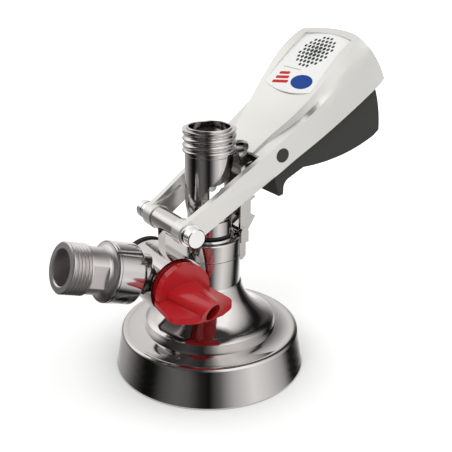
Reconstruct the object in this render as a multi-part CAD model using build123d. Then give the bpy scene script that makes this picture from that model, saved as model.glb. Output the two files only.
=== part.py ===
"""Keg coupler with a hinged lever, a sliding probe and a gas shut-off valve.

Millimetres.  The origin is the centre of the skirt's bottom face.  +Z runs up
the probe, +X points to the grip, the gas inlet leaves toward -X and the valve
knob faces -Y.  Every piece is modelled where it stands with the lever raised.
"""

import os
from math import cos, radians, sin, sqrt

from build123d import *

# ---- clearances -------------------------------------------------------------
RUN = 0.05            # radial gap of everything that turns or slides
PRESS = 0.01          # radial gap of pieces pushed together for good
FACE = 0.1            # gap between faces that turn on each other
SOFT = 0.3            # rubber to any piece that moves past it

# ---- skirt and body, radii and heights on the main axis ----------------------
SKIRT_R, SKIRT_TOP_R, SKIRT_Z = 43.0, 39.9, 17.5
RING_R, SEAM_Z = 29.65, 20.4
SKIRT_WALL, MOUTH_Z = 2.5, 3.0
MOUTH_R = SKIRT_R - SKIRT_WALL
CLAW_R, CLAW_Z = 30.5, 4.6
SPIGOT_R, SPIGOT_Z = 25.0, 11.0
FLANGE_R, FLANGE_Z = 28.9, 22.2
CONE_R, CONE_Z = 27.6, 23.3
LEDGE_R, LEDGE_Z = 14.2, 39.4
NECK_R, LINE_Z = 13.5, 53.0
COLLAR_R, COLLAR_Z = 13.4, 61.0
LIP_R, LIP_T = 10.9, 0.7
CHAMBER_R, CHAMBER_Z = 11.3, 45.0
THROAT_R, THROAT_Z = 17.0, 24.0
SEAL_R, SEAL_BORE, SEAL_T = 22.0, 15.5, 3.5
SEAL_Z = 14.0

# ---- probe -------------------------------------------------------------------
SLEEVE_R, SLEEVE_Z = 9.65, 70.0
SHOULDER_Z = 71.2
STEM_R, STEM_Z = 8.2, 17.0
BEER_R = 5.0
WAIST_X, WAIST_R, WAIST_BORE = -5.6, 4.75, 3.4
TUBE_R, TUBE_Z, TUBE_NOSE = 10.45, 86.6, 11.2
SPINE_X = -6.3
NIPPLE_Z, NIPPLE_TOP, NIPPLE_LIP = 98.0, 109.7, 9.6
NIPPLE_R, NIPPLE_THREAD_R, NIPPLE_BORE = 10.6, 11.45, 8.7
NIPPLE_SPIGOT_R, NIPPLE_SPIGOT_Z = 8.4, 90.0
NIPPLE_WAY, NIPPLE_SEAT = 6.3, 9.0
RETAINER_R, RETAINER_BORE, RETAINER_TOP = 6.1, 3.2, 20.5
BALL_R, BALL_RISE = 4.2, 3.5
RING_SECTION, RING_HEIGHTS = 0.85, (58.5, 62.5)

# ---- hinge ---------------------------------------------------------------------
HINGE_X, HINGE_Z = -19.7, 70.6
BARREL_R, BARREL_Y = 4.7, 8.85
PIN_R, PIN_HEAD_R, PIN_HEAD_Y, PIN_FAR_Y = 2.5, 4.05, 20.7, 22.0
BOSS_R, BOSS_Y, BOSS_STEP = 5.2, 15.5, 13.2
WASHER_R, WASHER_T = 4.6, 0.4
LEG_X0, LEG_X1, LEG_Y = -24.0, -16.6, 3.0

# ---- gas side --------------------------------------------------------------------
INLET_Z, INLET_TILT = 38.7, 19.4
VALVE_X, VALVE_Z, VALVE_R, VALVE_Y = -24.2, 47.2, 12.8, 12.5
STEM_BORE, CLIP_BORE, CLIP_Y = 7.5, 8.6, 8.9
GAS_R = 3.5
INLET_NECK_R, INLET_NECK_S = 9.0, 39.5
HOUSING_R, HOUSING_S0, HOUSING_S1 = 12.75, 40.1, 54.5
HOUSING_SPIGOT_R, HOUSING_BORE = 7.0, 8.0
CHAMBER_S, SOCKET_S, SOCKET_R = 42.5, 50.1, 10.0
INLET_R, INLET_FLATS, FLATS_S, THREAD_S, INLET_S = 10.5, 8.4, 57.0, 64.5, 73.5
INLET_SHANK = 9.7
INLET_BORE = 7.25
KNOB_R, KNOB_Y0, KNOB_STEP, KNOB_Y1 = 12.2, -12.8, -15.2, -18.2
SPOUT_RX, SPOUT_RZ, SPOUT_WALL = 2.75, 4.7, 0.9
TAIL_R, TAIL_Y, TAIL_FLAT = 4.0, -18.0, 3.0
CAP_R, CAP_Y = 13.4, 14.6

# ---- latch guide --------------------------------------------------------------------
GUIDE_X0, GUIDE_X1, GUIDE_Y, GUIDE_WALL = 12.0, 17.5, 6.35, 1.4
TOOTH_X, TOOTH_ROOT = 20.0, 15.0
LUMP_X = 16.8
GUIDE_Z, GUIDE_ARCH_Z = 60.0, 92.3
FOOT_X0, FOOT_X1, FOOT_Y, FOOT_Z = 12.6, 14.8, 4.3, 54.0

# ---- lever, in its own frame: u along the arm, w across it, Y kept ---------------------
LEVER_TILT = 32.0
ARM_Y, SPLAY, ARM_T = 15.0, 0.0814, 2.8
ARM_END = 46.0
SHELL_T, SIDE_T = 1.6, 1.2
LUG_U, LUG_W, LUG_R, LUG_Y = 25.9, -3.9, 2.3, 4.2
NOTCH_U, NOTCH_R = 39.8, 8.2
GRIP_END, GRIP_ARC = 114.5, 46.75
END_TOP, END_MID, END_LOW = -1.3, 2.1, 1.5
# u, lower edge (half width, w), shoulder (half width, w), ridge foot, ridge, dish
GRIP = (
    (43.5, (18.5, -6.0), (18.4, 5.2), (12.2, 5.2), (11.2, 5.8), 0.3),
    (53.5, (19.35, -6.1), (19.2, 5.5), (13.2, 5.5), (12.2, 6.7), 0.5),
    (62.5, (20.1, -6.3), (19.9, 5.8), (15.9, 5.9), (14.7, 8.0), 0.8),
    (71.2, (20.8, -6.5), (20.5, 6.1), (18.3, 7.0), (17.0, 9.8), 1.0),
    (80.0, (21.25, -6.6), (20.9, 6.7), (19.9, 8.7), (18.7, 12.1), 1.0),
    (88.5, (21.6, -6.6), (21.1, 7.4), (20.8, 10.0), (19.75, 14.3), 1.0),
    (97.0, (21.85, -6.5), (21.2, 8.0), (21.0, 10.9), (20.1, 16.1), 1.0),
    (106.0, (22.0, -6.3), (21.0, 8.4), (20.6, 11.4), (19.4, 16.8), 1.0),
    (117.0, (22.0, -6.2), (20.6, 8.6), (19.8, 11.6), (17.9, 16.6), 1.0),
)
LABEL_U0, LABEL_U1, LABEL_Y, LABEL_T = 75.5, 110.0, 15.6, 0.5
PIVOT_U, PIVOT_W, PIVOT_R = 51.45, -0.1, 2.0
PLUG_R, PLUG_Y = 3.1, 17.9
EAR_R, EAR_Y0, EAR_Y1 = 3.8, 8.0, 12.0
TRIGGER_T = 2.4
TRIGGER_SIDE = 0.6    # room for the squeezed trigger between the tapering walls

MAIN = Plane.XY
INLET = Plane(
    origin=(0, 0, INLET_Z),
    x_dir=(0, 1, 0),
    z_dir=(-cos(radians(INLET_TILT)), 0, sin(radians(INLET_TILT))),
)
LEVER = Plane(
    origin=(HINGE_X, 0, HINGE_Z),
    x_dir=(cos(radians(LEVER_TILT)), 0, sin(radians(LEVER_TILT))),
    z_dir=(-sin(radians(LEVER_TILT)), 0, cos(radians(LEVER_TILT))),
)


# ---- small makers -------------------------------------------------------------------
def rod(radius, start, end, frame=MAIN):
    """Cylinder on the frame's Z axis between two stations."""
    low = (Align.CENTER, Align.CENTER, Align.MIN)
    return frame * (Pos(0, 0, start) * Cylinder(radius, end - start, align=low))


def cross_rod(radius, x, z, y0, y1):
    """Cylinder along Y through the point (x, z)."""
    low = (Align.CENTER, Align.CENTER, Align.MIN)
    return Pos(x, y1, z) * Rot(90, 0, 0) * Cylinder(radius, y1 - y0, align=low)


def block(x0, x1, y0, y1, z0, z1):
    """Box between two corners."""
    low = (Align.MIN, Align.MIN, Align.MIN)
    return Pos(x0, y0, z0) * Box(x1 - x0, y1 - y0, z1 - z0, align=low)


def turned(*points, frame=MAIN):
    """Body of revolution from (radius, station) corners."""
    return frame * revolve(Plane.XZ * Polygon(*points, align=None), Axis.Z)


def slab(outline, y0, y1):
    """Side-view outline (x, z) carried from y0 to y1."""
    return Pos(0, y1, 0) * extrude(Plane.XZ * outline, amount=y1 - y0, dir=(0, -1, 0))


def prism(outline, z0, z1):
    """Plan-view outline (x, y) carried from z0 to z1."""
    return Pos(0, 0, z0) * extrude(outline, amount=z1 - z0, dir=(0, 0, 1))


def both_sides(piece):
    """The piece and its mirror image across the plane Y = 0."""
    return piece + mirror(piece, about=Plane.XZ)


def o_ring(mean_radius, section, station, frame=MAIN):
    """Torus seal at one station of the frame."""
    return frame * (Pos(0, 0, station) * Torus(mean_radius, section))


# ---- body and skirt ------------------------------------------------------------------
def bell_skirt():
    """Bell that stands on the keg, with two bayonet claws inside."""
    outer = revolve(
        Plane.XZ * make_face([
            Line((0, 0), (SKIRT_R, 0)),
            Line((SKIRT_R, 0), (SKIRT_R - 0.25, 1.4)),
            Line((SKIRT_R - 0.25, 1.4), (SKIRT_TOP_R + 0.3, SKIRT_Z - 1.8)),
            RadiusArc((SKIRT_TOP_R + 0.3, SKIRT_Z - 1.8), (SKIRT_TOP_R - 1.5, SKIRT_Z), -1.9),
            ThreePointArc((SKIRT_TOP_R - 1.5, SKIRT_Z),
                          ((SKIRT_TOP_R + RING_R) / 2, SKIRT_Z - 0.5), (RING_R, SKIRT_Z + 0.3)),
            Line((RING_R, SKIRT_Z + 0.3), (RING_R, SEAM_Z)),
            Line((RING_R, SEAM_Z), (0, SEAM_Z)),
            Line((0, SEAM_Z), (0, 0)),
        ]),
        Axis.Z,
    )
    hollow = turned((0, -1), (MOUTH_R, -1), (MOUTH_R, MOUTH_Z), (SKIRT_TOP_R - 2.3, SKIRT_Z - 4.7),
                    (SKIRT_TOP_R - 4.3, SKIRT_Z - 3.3), (0, SKIRT_Z - 3.3))
    bore = rod(SPIGOT_R + PRESS, 5, SEAM_Z + 1)
    claws = turned((CLAW_R, CLAW_Z), (MOUTH_R + 0.3, CLAW_Z), (MOUTH_R - 0.7, CLAW_Z + 3.4),
                   (CLAW_R + 1.5, CLAW_Z + 3.4), (CLAW_R, CLAW_Z + 2.2))
    sector = prism(Polygon((0, 0), (50, -17), (50, 17), align=None), 0, 10)
    claws &= sector + mirror(sector, about=Plane.YZ)
    return outer - hollow - bore + claws


def body_shell():
    """Turned outside of the body: spigot, cone, neck and collar."""
    return revolve(
        Plane.XZ * make_face([
            Polyline((0, SPIGOT_Z), (SPIGOT_R, SPIGOT_Z), (SPIGOT_R, SEAM_Z),
                     (FLANGE_R, SEAM_Z), (FLANGE_R, FLANGE_Z), (CONE_R, CONE_Z)),
            ThreePointArc((CONE_R, CONE_Z), (18.9, 29.6), (LEDGE_R, LEDGE_Z)),
            Polyline((LEDGE_R, LEDGE_Z), (NECK_R, LEDGE_Z + 0.7), (NECK_R, LINE_Z - 0.2),
                     (NECK_R - 0.3, LINE_Z), (COLLAR_R, LINE_Z + 0.2),
                     (COLLAR_R, COLLAR_Z - 1.0)),
            RadiusArc((COLLAR_R, COLLAR_Z - 1.0), (COLLAR_R - 1.0, COLLAR_Z), -1.0),
            Polyline((COLLAR_R - 1.0, COLLAR_Z), (LIP_R + 0.3, COLLAR_Z), (LIP_R, COLLAR_Z + 0.3),
                     (LIP_R - 0.3, COLLAR_Z + LIP_T), (0, COLLAR_Z + LIP_T), (0, SPIGOT_Z)),
        ]),
        Axis.Z,
    )


def guide_lump():
    """Swelling of the collar that carries the latch guide, with its two ears."""
    side = Polygon((9, 48.6), (COLLAR_R - 0.4, 48.6), (LUMP_X, 52.4),
                   (LUMP_X, GUIDE_Z), (9, GUIDE_Z), align=None)
    plan = Polygon((9, -7), (LUMP_X - 2.2, -7), (LUMP_X, -3.4), (LUMP_X, 3.4),
                   (LUMP_X - 2.2, 7), (9, 7), align=None)
    lump = slab(side, -8, 8) & prism(plan, 40, 70)
    ear = cross_rod(2.0, 13.3, 61.7, GUIDE_Y + RUN, 8.1)
    ear += block(11.3, 15.3, GUIDE_Y + RUN, 8.1, 57, 61.7)
    return lump + both_sides(ear)


def hinge_leg():
    """Web and barrel that hold the hinge pin above the valve boss."""
    side = make_face([
        Polyline((LEG_X0, 54), (LEG_X0, HINGE_Z), (LEG_X1, HINGE_Z), (LEG_X1, 65.5)),
        RadiusArc((LEG_X1, 65.5), (-11.0, 60.2), 6.5),
        Polyline((-11.0, 60.2), (-11.0, 54), (LEG_X0, 54)),
    ])
    return slab(side, -LEG_Y, LEG_Y) + cross_rod(BARREL_R, HINGE_X, HINGE_Z, -BARREL_Y, BARREL_Y)


def coupler_body():
    """One casting: cone, neck, collar, valve boss, inlet neck, hinge and lump."""
    body = body_shell()
    body += cross_rod(VALVE_R, VALVE_X, VALVE_Z, -VALVE_Y, VALVE_Y)
    body += rod(INLET_NECK_R, 12, INLET_NECK_S, INLET)
    body += hinge_leg()
    body += guide_lump()
    body -= rod(SLEEVE_R + RUN, 40, 110)
    body -= turned((0, 5), (SEAL_R, 5), (SEAL_R, SEAL_Z), (THROAT_R, SEAL_Z),
                   (THROAT_R, THROAT_Z), (CHAMBER_R, 38), (CHAMBER_R, CHAMBER_Z),
                   (0, CHAMBER_Z))
    body -= rod(GAS_R, 8, INLET_NECK_S + 1, INLET)
    body -= rod(HOUSING_SPIGOT_R + PRESS, 33.6, INLET_NECK_S + 1, INLET)
    body -= cross_rod(STEM_BORE + RUN, VALVE_X, VALVE_Z, -VALVE_Y - 1, CLIP_Y)
    body -= cross_rod(CLIP_BORE, VALVE_X, VALVE_Z, CLIP_Y, VALVE_Y + 1)
    body -= cross_rod(PIN_R + PRESS, HINGE_X, HINGE_Z, -12, 12)
    body -= block(GUIDE_X0 - RUN, 30, -GUIDE_Y - RUN, GUIDE_Y + RUN, GUIDE_Z, 80)
    body -= block(FOOT_X0 - PRESS, FOOT_X1 + PRESS, -FOOT_Y - PRESS, FOOT_Y + PRESS,
                  FOOT_Z - PRESS, 80)
    return body


def keg_seal():
    """Flat rubber ring that seals on the keg's neck."""
    low = SEAL_Z - SEAL_T
    return turned((SEAL_BORE, low + 0.6), (SEAL_BORE + 0.6, low), (SEAL_R - 0.6, low),
                  (SEAL_R, low + 0.6), (SEAL_R, SEAL_Z), (SEAL_BORE, SEAL_Z))


def latch_guide():
    """Channel with an arched top, open toward the probe, toothed on its back."""
    back = GUIDE_X1 - GUIDE_WALL
    side = Polygon((GUIDE_X0, GUIDE_Z), (TOOTH_ROOT, GUIDE_Z), (TOOTH_X, 67.7),
                   (GUIDE_X1, 69.3), (GUIDE_X1, 75.3), (TOOTH_X, 76.4), (GUIDE_X1, 79.6),
                   (GUIDE_X1, 110), (GUIDE_X0, 110), align=None)
    arch = Plane(origin=(0, 0, GUIDE_ARCH_Z), z_dir=(1, 0, 0))
    front = block(0, 30, -GUIDE_Y, GUIDE_Y, 0, GUIDE_ARCH_Z) + rod(GUIDE_Y, 0, 30, arch)
    channel = slab(side, -10, 10) & front
    inner = GUIDE_Y - GUIDE_WALL
    floor = Polygon((0, GUIDE_Z + 2.0), (TOOTH_ROOT - 0.9, GUIDE_Z + 2.0), (back, 65.6),
                    (back, GUIDE_ARCH_Z), (0, GUIDE_ARCH_Z), align=None)
    hollow = slab(floor, -inner, inner) + rod(inner, 0, back, arch)
    foot = block(FOOT_X0, FOOT_X1, -FOOT_Y, FOOT_Y, FOOT_Z, GUIDE_Z + 1.0)
    return channel - hollow + foot


# ---- probe -----------------------------------------------------------------------------
def disc_at(radius, x, z):
    """Circle lying flat at height z, for lofting the bent beer way."""
    return Pos(x, 0, z) * Circle(radius)


def tube_shape():
    """Outside of the wide tube: a round nose over the window, a spine behind it."""
    nose = SPINE_X + 1.5
    under = make_face([
        Polyline((-30, 99), (-30, 50), (SPINE_X, 50), (SPINE_X, TUBE_Z - 1.5)),
        RadiusArc((SPINE_X, TUBE_Z - 1.5), (nose, TUBE_Z), 1.5),
        RadiusArc((nose, TUBE_Z), (nose + TUBE_NOSE, TUBE_Z + TUBE_NOSE), -TUBE_NOSE),
        Polyline((nose + TUBE_NOSE, TUBE_Z + TUBE_NOSE), (nose + TUBE_NOSE, 99), (-30, 99)),
    ])
    outside = turned((0, SLEEVE_Z - 3), (SLEEVE_R, SLEEVE_Z - 3), (SLEEVE_R, SHOULDER_Z),
                     (TUBE_R - 0.2, SHOULDER_Z + 3.5), (TUBE_R, SHOULDER_Z + 6),
                     (TUBE_R, NIPPLE_Z), (0, NIPPLE_Z))
    waist = Pos(WAIST_X, 0, 0) * rod(WAIST_R, SLEEVE_Z - 3, TUBE_Z + 7)
    return outside & (slab(under, -20, 20) + waist)


def probe():
    """Sleeve, waist and wide tube in one turned and milled piece."""
    piece = turned((0, STEM_Z), (STEM_R, STEM_Z), (STEM_R, 45.6), (SLEEVE_R, 47.0),
                   (SLEEVE_R, SLEEVE_Z - 0.6), (SLEEVE_R - 0.6, SLEEVE_Z), (0, SLEEVE_Z))
    piece += tube_shape()
    low, high = SLEEVE_Z + 2, NIPPLE_SPIGOT_Z - 4
    piece -= rod(BEER_R, 10, SLEEVE_Z - 10)
    piece -= loft([disc_at(BEER_R, 0, SLEEVE_Z - 10), disc_at(WAIST_BORE, WAIST_X, low)])
    piece -= Pos(WAIST_X, 0, 0) * rod(WAIST_BORE, low, high)
    piece -= loft([disc_at(WAIST_BORE, WAIST_X, high),
                   disc_at(NIPPLE_BORE - 2.4, 0, NIPPLE_SPIGOT_Z)])
    piece -= rod(NIPPLE_SPIGOT_R + PRESS, NIPPLE_SPIGOT_Z, NIPPLE_Z + 1)
    piece -= rod(RETAINER_R + PRESS, STEM_Z - 1, RETAINER_TOP + 0.3)
    for height in RING_HEIGHTS:
        piece -= turned((SLEEVE_R - 2 * RING_SECTION - SOFT, height - RING_SECTION - 0.1),
                        (SLEEVE_R + 1, height - RING_SECTION - 0.1),
                        (SLEEVE_R + 1, height + RING_SECTION + 0.1),
                        (SLEEVE_R - 2 * RING_SECTION - SOFT, height + RING_SECTION + 0.1))
    piece -= cross_rod(0.8, 0, STOP_Z, -STEM_R - 1, STEM_R + 1)
    return piece


def probe_rings():
    """Two seals in the sleeve's grooves, clear of the body's bore."""
    mean = SLEEVE_R + RUN - SOFT - RING_SECTION
    return [o_ring(mean, RING_SECTION, height) for height in RING_HEIGHTS]


def beer_outlet_nipple():
    """Screwed outlet of the probe; the thread's crest is its full radius."""
    outer = turned((0, NIPPLE_SPIGOT_Z + 0.1), (NIPPLE_SPIGOT_R, NIPPLE_SPIGOT_Z + 0.1),
                   (NIPPLE_SPIGOT_R, NIPPLE_Z), (NIPPLE_R, NIPPLE_Z),
                   (NIPPLE_R, NIPPLE_Z + 1.4), (NIPPLE_THREAD_R, NIPPLE_Z + 2.2),
                   (NIPPLE_THREAD_R, NIPPLE_TOP - 1.6), (NIPPLE_LIP, NIPPLE_TOP - 0.9),
                   (NIPPLE_LIP, NIPPLE_TOP), (0, NIPPLE_TOP))
    way = turned((0, NIPPLE_SPIGOT_Z - 10), (NIPPLE_WAY, NIPPLE_SPIGOT_Z - 10),
                 (NIPPLE_WAY, NIPPLE_TOP - NIPPLE_SEAT), (NIPPLE_BORE, NIPPLE_TOP - NIPPLE_SEAT + 1.5),
                 (NIPPLE_BORE, NIPPLE_TOP + 1), (0, NIPPLE_TOP + 1))
    return outer - way


BALL_Z = RETAINER_TOP + sqrt(BALL_R**2 - (RETAINER_BORE + 0.5) ** 2) + 2 * RUN
STOP_Z = BALL_Z + BALL_R + BALL_RISE + 0.8 + FACE


def probe_retainer():
    """Screw-in foot that clamps the probe's seal and seats the check ball."""
    foot = STEM_Z - SEAL_T
    body = turned((0, foot - 1.5), (8.4, foot - 1.5), (9.0, foot - 0.9), (9.0, foot),
                  (RETAINER_R, foot), (RETAINER_R, RETAINER_TOP), (0, RETAINER_TOP))
    way = turned((0, foot - 3), (RETAINER_BORE, foot - 3), (RETAINER_BORE, RETAINER_TOP - 1.2),
                 (RETAINER_BORE + 0.5, RETAINER_TOP - 0.8), (RETAINER_BORE + 0.5, RETAINER_TOP + 1),
                 (0, RETAINER_TOP + 1))
    return body - way


def probe_seal():
    """Rubber cup under the probe's stem."""
    foot = STEM_Z - SEAL_T
    return turned((RETAINER_R, foot), (10.4, foot), (11.6, foot + 1.4), (11.6, foot + 2.6),
                  (10.8, STEM_Z), (RETAINER_R, STEM_Z))


def beer_check_ball():
    """Ball that keeps the beer from running back."""
    return Pos(0, 0, BALL_Z) * Sphere(BALL_R)


def ball_stop_pin():
    """Cross pin that limits the ball's rise."""
    return cross_rod(0.8, 0, STOP_Z, -STEM_R + 0.2, STEM_R - 0.2)


# ---- gas inlet and valve ------------------------------------------------------------------
def check_valve_housing():
    """Threaded housing on the body's inlet neck."""
    outer = turned((0, 33.8), (HOUSING_SPIGOT_R, 33.8), (HOUSING_SPIGOT_R, HOUSING_S0),
                   (INLET_R, HOUSING_S0), (HOUSING_R, HOUSING_S0 + 2.2),
                   (HOUSING_R, HOUSING_S1 - 0.4), (HOUSING_R - 0.4, HOUSING_S1),
                   (0, HOUSING_S1), frame=INLET)
    way = turned((0, 30), (GAS_R, 30), (GAS_R, CHAMBER_S), (HOUSING_BORE, CHAMBER_S),
                 (HOUSING_BORE, SOCKET_S), (SOCKET_R + PRESS, SOCKET_S),
                 (SOCKET_R + PRESS, HOUSING_S1 + 1), (0, HOUSING_S1 + 1), frame=INLET)
    return outer - way


def gas_inlet_nipple():
    """Inlet with two wrench flats; the thread's crest is its full radius."""
    edge = INLET_R + 1.6
    outer = INLET * revolve(
        Plane.XZ * make_face([
            Polyline((0, SOCKET_S), (SOCKET_R, SOCKET_S), (SOCKET_R, HOUSING_S1),
                     (edge, HOUSING_S1)),
            RadiusArc((edge, HOUSING_S1), (INLET_SHANK, FLATS_S), 2.9),
            Polyline((INLET_SHANK, FLATS_S), (INLET_SHANK, THREAD_S - 0.3),
                     (INLET_R, THREAD_S), (INLET_R, INLET_S - 0.7), (INLET_R - 0.7, INLET_S),
                     (0, INLET_S), (0, SOCKET_S)),
        ]),
        Axis.Z,
    )
    flat = INLET * block(INLET_FLATS, 20, -20, 20, FLATS_S, THREAD_S - 0.6)
    outer -= both_sides(flat)
    way = turned((0, 45), (BEER_R, 45), (BEER_R, 60), (INLET_BORE, 62.5),
                 (INLET_BORE, INLET_S + 1), (0, INLET_S + 1), frame=INLET)
    return outer - way


def gas_check_valve():
    """Rubber duckbill clamped between the housing and the inlet nipple."""
    lip = CHAMBER_S + 0.9
    outer = turned((0, lip), (1.3, lip), (4.8, SOCKET_S - 1.5), (HOUSING_BORE, SOCKET_S - 1.5),
                   (HOUSING_BORE, SOCKET_S), (0, SOCKET_S), frame=INLET)
    return outer - turned((0, lip + 1.2), (3.6, SOCKET_S - 1.0), (3.6, SOCKET_S + 1),
                          (0, SOCKET_S + 1), frame=INLET)


def housing_gasket():
    """Thin ring between the inlet neck and the housing."""
    return turned((HOUSING_SPIGOT_R + PRESS, INLET_NECK_S), (INLET_NECK_R, INLET_NECK_S),
                  (INLET_NECK_R, HOUSING_S0), (HOUSING_SPIGOT_R + PRESS, HOUSING_S0),
                  frame=INLET)


def valve_stem():
    """Plug that opens or shuts the gas way, with a flatted tail for the knob."""
    stem = cross_rod(STEM_BORE, VALVE_X, VALVE_Z, -VALVE_Y + 0.3, CLIP_Y + 1.7)
    tail = cross_rod(TAIL_R, VALVE_X, VALVE_Z, TAIL_Y, -VALVE_Y + 0.4)
    tail &= block(VALVE_X - 10, VALVE_X + 10, -30, 0, VALVE_Z - 10, VALVE_Z + TAIL_FLAT)
    stem += tail
    stem -= rod(GAS_R - 0.5, 10, 42, INLET)
    for y in (-9.5, 6.6):
        stem -= cross_rod(STEM_BORE + 1, VALVE_X, VALVE_Z, y - 0.8, y + 0.8) - cross_rod(
            STEM_BORE - 1.4 - SOFT, VALVE_X, VALVE_Z, y - 2, y + 2)
    stem -= cross_rod(STEM_BORE + 1, VALVE_X, VALVE_Z, CLIP_Y + RUN, CLIP_Y + 1.05) - cross_rod(
        STEM_BORE - 0.9, VALVE_X, VALVE_Z, 0, 20)
    return stem


def stem_rings():
    """Seals of the valve stem."""
    frame = Plane(origin=(VALVE_X, 0, VALVE_Z), z_dir=(0, 1, 0))
    return [o_ring(STEM_BORE - SOFT - 0.65, 0.7, y, frame) for y in (-9.5, 6.6)]


def stem_clip():
    """Ring that keeps the stem from being pulled out."""
    ring = cross_rod(CLIP_BORE - 0.2, VALVE_X, VALVE_Z, CLIP_Y + RUN, CLIP_Y + 1.0)
    return ring - cross_rod(STEM_BORE - 0.88, VALVE_X, VALVE_Z, 0, 20)


def valve_cap():
    """Plastic cap on the far end of the valve boss."""
    cap = cross_rod(CAP_R, VALVE_X, VALVE_Z, VALVE_Y, CAP_Y)
    cap -= cross_rod(CAP_R + 1, VALVE_X, VALVE_Z, VALVE_Y + 0.8, VALVE_Y + 1.3) - cross_rod(
        CAP_R - 0.6, VALVE_X, VALVE_Z, 0, 20)
    return cap + cross_rod(CLIP_BORE - PRESS, VALVE_X, VALVE_Z, VALVE_Y - 1.5, VALVE_Y)


def oval(radius_x, radius_z, y):
    """Upright ellipse at a station in front of the valve's axis."""
    return Plane(origin=(0, y, 0), x_dir=(1, 0, 0), z_dir=(0, -1, 0)) * Ellipse(
        radius_x, radius_z)


def valve_knob():
    """Disc with a flat wing and a roof that narrows to an open oval spout."""
    section = Polygon((-16, -1.7), (-8.6, -1.2), (0, 1.0), (8.6, -1.2), (16, -1.7),
                      (16, -3.7), (6.4, -4.2), (0, -4.9), (-6.4, -4.2), (-16, -3.7),
                      align=None)
    half = [
        Polyline((0, -44.0), (-3.4, -44.0), (-4.4, -37.4), (-10.8, -34.8)),
        ThreePointArc((-10.8, -34.8), (-13.4, -32.6), (-14.4, -29.4)),
        Polyline((-14.4, -29.4), (-13.0, -16.4)),
        ThreePointArc((-13.0, -16.4), (-12.6, -15.5), (-11.6, KNOB_STEP)),
        Polyline((-11.6, KNOB_STEP), (0, KNOB_STEP), (0, -44.0)),
    ]
    plan = make_face(half)
    plan += mirror(plan, about=Plane.YZ)
    wing = slab(section, -46, KNOB_STEP) & prism(plan, -10, 10)
    tip_x, tip_z = SPOUT_RX + SPOUT_WALL, SPOUT_RZ + SPOUT_WALL
    wing += loft([oval(8.6, 4.2, KNOB_STEP), oval(tip_x, tip_z, -46)])
    wing -= loft([oval(SPOUT_RX, SPOUT_RZ - SPOUT_WALL, TAIL_Y - 2),
                  oval(SPOUT_RX, SPOUT_RZ, -46)])
    lean = Plane.YZ * Polygon((-10, -17.2), (-29.4, -17.2), (-42.8, 6.8), (-10, 6.8), align=None)
    wing &= extrude(lean, amount=30, both=True)
    knob = cross_rod(KNOB_R, 0, 0, KNOB_Y1, KNOB_STEP) + wing
    knob += cross_rod(KNOB_R - 1.8, 0, 0, KNOB_STEP - 0.5, KNOB_Y0)
    socket = cross_rod(TAIL_R + PRESS, 0, 0, TAIL_Y - 0.2, 0)
    knob -= socket & block(-9, 9, -30, 0, -20, TAIL_FLAT + PRESS)
    return Pos(VALVE_X, 0, VALVE_Z) * knob


# ---- hinge ------------------------------------------------------------------------------
def hinge_pin():
    """Headed pin pressed into the body's barrel."""
    head = cross_rod(PIN_HEAD_R, HINGE_X, HINGE_Z, -PIN_HEAD_Y, -BOSS_Y - FACE - WASHER_T)
    head = chamfer(head.edges().filter_by(GeomType.CIRCLE).group_by(Axis.Y)[0], 0.35)
    return head + cross_rod(PIN_R, HINGE_X, HINGE_Z, -BOSS_Y - 1, PIN_FAR_Y - 0.6)


def pin_cap():
    """Grooved end piece pushed on the pin's far end."""
    start = BOSS_Y + FACE + WASHER_T
    cap = cross_rod(PIN_HEAD_R, HINGE_X, HINGE_Z, start, PIN_FAR_Y)
    cap -= cross_rod(PIN_HEAD_R + 1, HINGE_X, HINGE_Z, start + 2.2, start + 3.0) - cross_rod(
        PIN_HEAD_R - 0.7, HINGE_X, HINGE_Z, 0, 30)
    return cap - cross_rod(PIN_R + PRESS, HINGE_X, HINGE_Z, 0, PIN_FAR_Y - 0.55)


def hinge_washers():
    """One thin washer at each end of the lever's bosses."""
    start = BOSS_Y + FACE
    ring = cross_rod(WASHER_R, HINGE_X, HINGE_Z, start, start + WASHER_T)
    ring -= cross_rod(PIN_R + PRESS, HINGE_X, HINGE_Z, 0, 30)
    return [ring, mirror(ring, about=Plane.XZ)]


# ---- lever ------------------------------------------------------------------------------
def grip_section(row, inset=False):
    """Cross-section of the grip at one row of the table, or of its hollow."""
    u, (side, low), (outer, step), (inner, foot), (ridge, top), dish = row
    crown = top - dish
    if inset:
        side, outer, low, step = side - SIDE_T, outer - SIDE_T, low - 4.0, step - SHELL_T
        inner, foot, ridge = inner - SHELL_T, foot - SHELL_T, ridge - SHELL_T
        top = crown = crown - SHELL_T
    face = make_face([
        Polyline((-ridge, top), (-inner, foot), (-outer, step), (-side, low),
                 (side, low), (outer, step), (inner, foot), (ridge, top)),
        ThreePointArc((ridge, top), (0, crown), (-ridge, top)) if crown < top
        else Line((ridge, top), (-ridge, top)),
    ])
    return Plane(origin=(u, 0, 0), x_dir=(0, 1, 0), z_dir=(1, 0, 0)) * face


def grip_end(back):
    """Barrel whose wall limits the grip: bowed in plan and in side view."""
    wall = GRIP_ARC - back
    barrel = make_face([
        Polyline((0, 30), (0, -20), (wall + END_LOW, -20), (wall + END_LOW, -6.6)),
        ThreePointArc((wall + END_LOW, -6.6), (wall + END_MID, 3.0), (wall + END_TOP, 17.0)),
        Polyline((wall + END_TOP, 17.0), (wall + END_TOP, 30), (0, 30)),
    ])
    return Pos(GRIP_END - GRIP_ARC, 0, 0) * revolve(Plane.XZ * barrel, Axis.Z)


def crown_line(drop):
    """Outline below the label's curved floor, lowered by drop."""
    return make_face([
        Polyline((120, 14.6 - drop), (120, -30), (60, -30), (60, 5.3 - drop)),
        ThreePointArc((60, 5.3 - drop), (90.9, 13.3 - drop), (120, 14.6 - drop)),
    ])


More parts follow.
